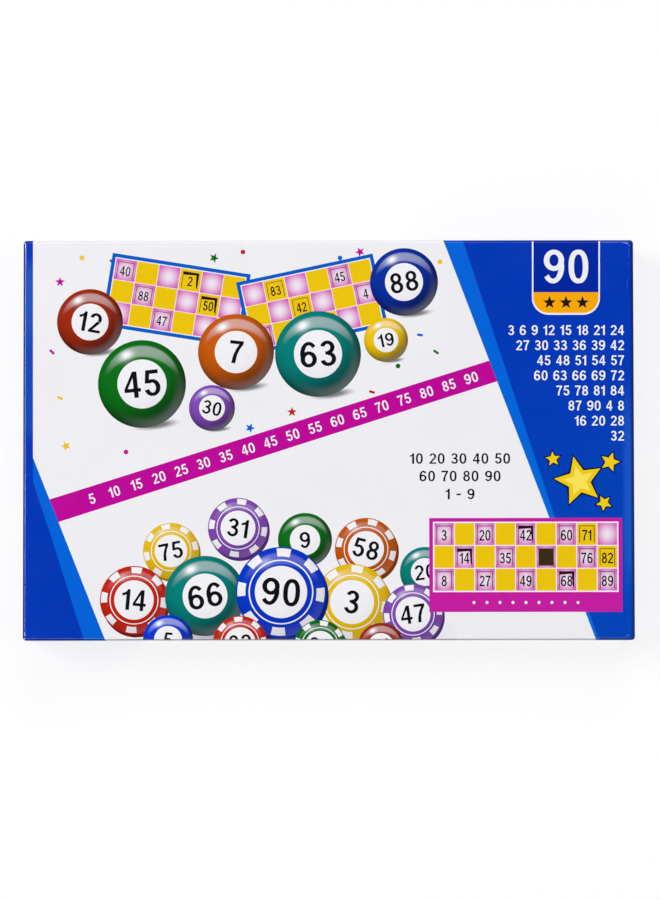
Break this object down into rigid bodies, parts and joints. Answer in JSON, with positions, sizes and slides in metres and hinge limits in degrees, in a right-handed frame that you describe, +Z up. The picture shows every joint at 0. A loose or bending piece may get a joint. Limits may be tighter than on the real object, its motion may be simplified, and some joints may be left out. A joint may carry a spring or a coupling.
{
  "type": "boxed board game",
  "caption": "Flat lidded board box with printed cover, holding a formed tray, a calling board with numbered discs, and playing cards with fold-back number windows.",
  "frame": {"origin": "middle of the closed box's footprint, on the surface that it lies on", "axes": "+X along the long side, to the right of the cover; +Y towards the cover's top edge; +Z up, out of the cover"},
  "size_m": [0.27, 0.177, 0.038],
  "materials": {
    "cover_print": "film-laminated gloss print",
    "greyboard": "uncoated grey board",
    "kraft_stay": "gummed kraft paper",
    "base_paper": "coated white paper",
    "tray_plastic": "vacuum-formed sheet, satin gloss",
    "number_print": "printed sheet",
    "grid_print": "printed board",
    "disc": "moulded plastic with printed number",
    "card_print": "plastic-coated printed card",
    "leaflet_paper": "uncoated printed paper"
  },
  "bodies": {
    "base": {"base_board": "greyboard", "base_wrap": "base_paper", "base_bottom_sheet": "base_paper", "base_corner_stays": "kraft_stay"},
    "lid": {"lid_board": "greyboard", "lid_wrap": "cover_print", "lid_corner_stays": "kraft_stay"},
    "tray": {"formed_tray": "tray_plastic"},
    "calling_board": {"calling_board_back": "greyboard", "calling_board_number_sheet": "number_print", "calling_board_grid": "grid_print"},
    "card_pack": {"card_pack": "card_print"},
    "leaflet_back": {"leaflet_back_page": "leaflet_paper"},
    "leaflet_front": {"leaflet_front_page": "leaflet_paper"},
    "play_card": {"play_card": "card_print"},
    "discs_01_to_10": {"discs_01_to_10": "disc"},
    "discs_11_to_20": {"discs_11_to_20": "disc"},
    "discs_21_to_30": {"discs_21_to_30": "disc"},
    "discs_31_to_40": {"discs_31_to_40": "disc"},
    "discs_41_to_50": {"discs_41_to_50": "disc"},
    "discs_51_to_60": {"discs_51_to_60": "disc"},
    "discs_61_to_70": {"discs_61_to_70": "disc"},
    "discs_71_to_80": {"discs_71_to_80": "disc"},
    "discs_81_to_90": {"discs_81_to_90": "disc"},
    "window_flap_r1_c1": {"window_flap_r1_c1": "card_print"},
    "window_flap_r1_c3": {"window_flap_r1_c3": "card_print"},
    "window_flap_r1_c5": {"window_flap_r1_c5": "card_print"},
    "window_flap_r1_c7": {"window_flap_r1_c7": "card_print"},
    "window_flap_r1_c8": {"window_flap_r1_c8": "card_print"},
    "window_flap_r2_c2": {"window_flap_r2_c2": "card_print"},
    "window_flap_r2_c4": {"window_flap_r2_c4": "card_print"},
    "window_flap_r2_c6": {"window_flap_r2_c6": "card_print"},
    "window_flap_r2_c8": {"window_flap_r2_c8": "card_print"},
    "window_flap_r2_c9": {"window_flap_r2_c9": "card_print"},
    "window_flap_r3_c1": {"window_flap_r3_c1": "card_print"},
    "window_flap_r3_c3": {"window_flap_r3_c3": "card_print"},
    "window_flap_r3_c5": {"window_flap_r3_c5": "card_print"},
    "window_flap_r3_c7": {"window_flap_r3_c7": "card_print"},
    "window_flap_r3_c9": {"window_flap_r3_c9": "card_print"}
  },
  "joints": [
    {"name": "lid_lift", "type": "slide", "parent": "base", "child": "lid", "axis": [0, 0, 1], "range_m": [0, 0.24]},
    {"name": "tray_lift", "type": "slide", "parent": "base", "child": "tray", "axis": [0, 0, 1], "range_m": [0, 0.0384]},
    {"name": "card_pack_lift", "type": "slide", "parent": "tray", "child": "card_pack", "axis": [0, 0, 1], "range_m": [0, 0.03]},
    {"name": "leaflet_lift", "type": "slide", "parent": "tray", "child": "leaflet_back", "axis": [0, 0, 1], "range_m": [0, 0.048]},
    {"name": "leaflet_fold", "type": "hinge", "parent": "leaflet_back", "child": "leaflet_front", "pos_m": [-0.1191, 0, 0.02193], "axis": [0, -1, 0], "range_deg": [0, 165]},
    {"name": "calling_board_lift", "type": "slide", "parent": "tray", "child": "calling_board", "axis": [0, 0, 1], "range_m": [0, 0.03]},
    {"name": "play_card_lift", "type": "slide", "parent": "tray", "child": "play_card", "axis": [0, 0, 1], "range_m": [0, 0.048]},
    {"name": "discs_01_to_10_lift", "type": "slide", "parent": "calling_board", "child": "discs_01_to_10", "axis": [0, 0, 1], "range_m": [0, 0.0096]},
    {"name": "discs_11_to_20_lift", "type": "slide", "parent": "calling_board", "child": "discs_11_to_20", "axis": [0, 0, 1], "range_m": [0, 0.0096]},
    {"name": "discs_21_to_30_lift", "type": "slide", "parent": "calling_board", "child": "discs_21_to_30", "axis": [0, 0, 1], "range_m": [0, 0.0096]},
    {"name": "discs_31_to_40_lift", "type": "slide", "parent": "calling_board", "child": "discs_31_to_40", "axis": [0, 0, 1], "range_m": [0, 0.0096]},
    {"name": "discs_41_to_50_lift", "type": "slide", "parent": "calling_board", "child": "discs_41_to_50", "axis": [0, 0, 1], "range_m": [0, 0.0096]},
    {"name": "discs_51_to_60_lift", "type": "slide", "parent": "calling_board", "child": "discs_51_to_60", "axis": [0, 0, 1], "range_m": [0, 0.0096]},
    {"name": "discs_61_to_70_lift", "type": "slide", "parent": "calling_board", "child": "discs_61_to_70", "axis": [0, 0, 1], "range_m": [0, 0.0096]},
    {"name": "discs_71_to_80_lift", "type": "slide", "parent": "calling_board", "child": "discs_71_to_80", "axis": [0, 0, 1], "range_m": [0, 0.0096]},
    {"name": "discs_81_to_90_lift", "type": "slide", "parent": "calling_board", "child": "discs_81_to_90", "axis": [0, 0, 1], "range_m": [0, 0.0096]},
    {"name": "window_flap_r1_c1_fold", "type": "hinge", "parent": "play_card", "child": "window_flap_r1_c1", "pos_m": [-0.0211, 0.0562, 0.02785], "axis": [-1, 0, 0], "range_deg": [0, 165]},
    {"name": "window_flap_r1_c3_fold", "type": "hinge", "parent": "play_card", "child": "window_flap_r1_c3", "pos_m": [0.0115, 0.0562, 0.02785], "axis": [-1, 0, 0], "range_deg": [0, 165]},
    {"name": "window_flap_r1_c5_fold", "type": "hinge", "parent": "play_card", "child": "window_flap_r1_c5", "pos_m": [0.0441, 0.0562, 0.02785], "axis": [-1, 0, 0], "range_deg": [0, 165]},
    {"name": "window_flap_r1_c7_fold", "type": "hinge", "parent": "play_card", "child": "window_flap_r1_c7", "pos_m": [0.0767, 0.0562, 0.02785], "axis": [-1, 0, 0], "range_deg": [0, 165]},
    {"name": "window_flap_r1_c8_fold", "type": "hinge", "parent": "play_card", "child": "window_flap_r1_c8", "pos_m": [0.093, 0.0562, 0.02785], "axis": [-1, 0, 0], "range_deg": [0, 165]},
    {"name": "window_flap_r2_c2_fold", "type": "hinge", "parent": "play_card", "child": "window_flap_r2_c2", "pos_m": [-0.0048, 0.0377, 0.02785], "axis": [-1, 0, 0], "range_deg": [0, 165]},
    {"name": "window_flap_r2_c4_fold", "type": "hinge", "parent": "play_card", "child": "window_flap_r2_c4", "pos_m": [0.0278, 0.0377, 0.02785], "axis": [-1, 0, 0], "range_deg": [0, 165]},
    {"name": "window_flap_r2_c6_fold", "type": "hinge", "parent": "play_card", "child": "window_flap_r2_c6", "pos_m": [0.0604, 0.0377, 0.02785], "axis": [-1, 0, 0], "range_deg": [0, 165]},
    {"name": "window_flap_r2_c8_fold", "type": "hinge", "parent": "play_card", "child": "window_flap_r2_c8", "pos_m": [0.093, 0.0377, 0.02785], "axis": [-1, 0, 0], "range_deg": [0, 165]},
    {"name": "window_flap_r2_c9_fold", "type": "hinge", "parent": "play_card", "child": "window_flap_r2_c9", "pos_m": [0.1093, 0.0377, 0.02785], "axis": [-1, 0, 0], "range_deg": [0, 165]},
    {"name": "window_flap_r3_c1_fold", "type": "hinge", "parent": "play_card", "child": "window_flap_r3_c1", "pos_m": [-0.0211, 0.0192, 0.02785], "axis": [-1, 0, 0], "range_deg": [0, 165]},
    {"name": "window_flap_r3_c3_fold", "type": "hinge", "parent": "play_card", "child": "window_flap_r3_c3", "pos_m": [0.0115, 0.0192, 0.02785], "axis": [-1, 0, 0], "range_deg": [0, 165]},
    {"name": "window_flap_r3_c5_fold", "type": "hinge", "parent": "play_card", "child": "window_flap_r3_c5", "pos_m": [0.0441, 0.0192, 0.02785], "axis": [-1, 0, 0], "range_deg": [0, 165]},
    {"name": "window_flap_r3_c7_fold", "type": "hinge", "parent": "play_card", "child": "window_flap_r3_c7", "pos_m": [0.0767, 0.0192, 0.02785], "axis": [-1, 0, 0], "range_deg": [0, 165]},
    {"name": "window_flap_r3_c9_fold", "type": "hinge", "parent": "play_card", "child": "window_flap_r3_c9", "pos_m": [0.1093, 0.0192, 0.02785], "axis": [-1, 0, 0], "range_deg": [0, 165]}
  ],
  "couplings": [
    {"joint": "tray_lift", "follows": "lid_lift", "ratio": 0.16},
    {"joint": "card_pack_lift", "follows": "lid_lift", "ratio": 0.125},
    {"joint": "leaflet_lift", "follows": "lid_lift", "ratio": 0.2},
    {"joint": "leaflet_fold", "follows": "lid_lift", "rad_per_m": 11.9},
    {"joint": "calling_board_lift", "follows": "lid_lift", "ratio": 0.125},
    {"joint": "play_card_lift", "follows": "lid_lift", "ratio": 0.2},
    {"joint": "discs_01_to_10_lift", "follows": "lid_lift", "ratio": 0.04},
    {"joint": "discs_11_to_20_lift", "follows": "lid_lift", "ratio": 0.04},
    {"joint": "discs_21_to_30_lift", "follows": "lid_lift", "ratio": 0.04},
    {"joint": "discs_31_to_40_lift", "follows": "lid_lift", "ratio": 0.04},
    {"joint": "discs_41_to_50_lift", "follows": "lid_lift", "ratio": 0.04},
    {"joint": "discs_51_to_60_lift", "follows": "lid_lift", "ratio": 0.04},
    {"joint": "discs_61_to_70_lift", "follows": "lid_lift", "ratio": 0.04},
    {"joint": "discs_71_to_80_lift", "follows": "lid_lift", "ratio": 0.04},
    {"joint": "discs_81_to_90_lift", "follows": "lid_lift", "ratio": 0.04}
  ]
}
